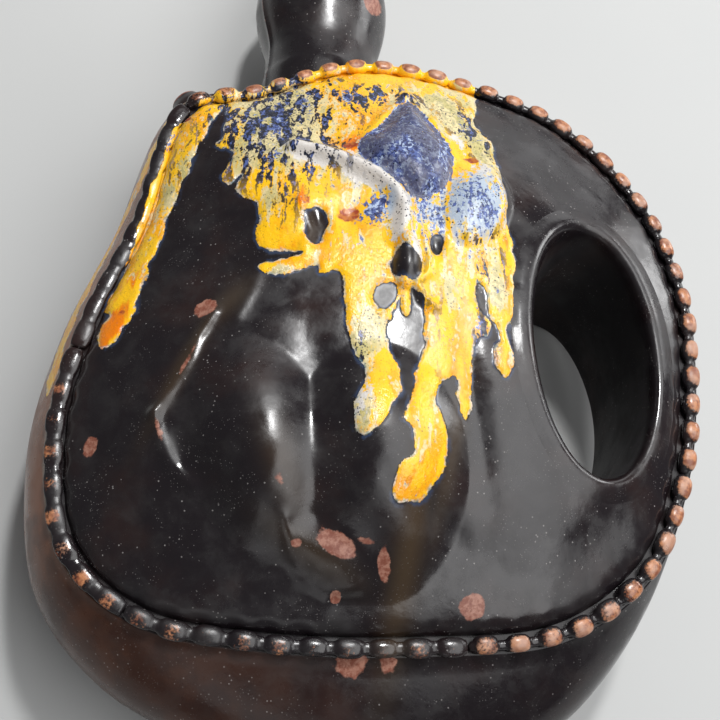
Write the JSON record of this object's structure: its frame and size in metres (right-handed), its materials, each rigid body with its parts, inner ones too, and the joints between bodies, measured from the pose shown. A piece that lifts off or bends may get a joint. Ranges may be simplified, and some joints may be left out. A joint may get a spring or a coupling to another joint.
{
  "type": "glazed pottery jug",
  "caption": "Round moulded pottery jug with a beaded front panel, applied leaf and fruit relief, a finger hole through the body, a bulbous neck with a cork, and poured drip glaze.",
  "frame": {"origin": "middle of the flat back that the jug lies on", "axes": "+Z out of the decorated front, +Y from the foot up to the neck, +X towards the finger hole"},
  "size_m": [0.228, 0.3556, 0.0979],
  "materials": {
    "black_glaze": "glossy iron-black glaze with brown breaks on its edges and poured yellow drips",
    "brown_black_glaze": "glossy black glaze, warm brown where it is thin",
    "bead_glaze": "thin glossy glaze over orange-brown clay",
    "blue_glaze": "glossy mottled blue and cream glaze",
    "bare_clay": "matt fired red clay",
    "cork": "matt bark cork"
  },
  "bodies": {
    "jug": {"front_shell": "black_glaze", "back_shell": "brown_black_glaze", "grip_tunnel": "black_glaze", "neck_front_half": "black_glaze", "neck_back_half": "black_glaze", "pouring_spout": "black_glaze", "foot_ring": "bare_clay", "bead_row_left": "bead_glaze", "bead_row_lower_left": "bead_glaze", "bead_row_bottom": "bead_glaze", "bead_row_lower_right": "bead_glaze", "bead_row_right": "bead_glaze", "bead_row_upper_right": "bead_glaze", "bead_row_top": "bead_glaze", "sprig_round_fruit": "black_glaze", "sprig_long_fruit": "black_glaze", "sprig_small_pod": "black_glaze", "sprig_blue_leaf": "blue_glaze", "sprig_hood_leaf": "blue_glaze", "sprig_side_lobe": "blue_glaze", "sprig_bud": "black_glaze", "sprig_leaf_rib": "black_glaze"},
    "stopper": {"stopper_cork": "cork"}
  },
  "joints": [
    {"name": "stopper_lift", "type": "slide", "parent": "jug", "child": "stopper", "axis": [0, 1, 0], "range_m": [0, 0.045]}
  ]
}
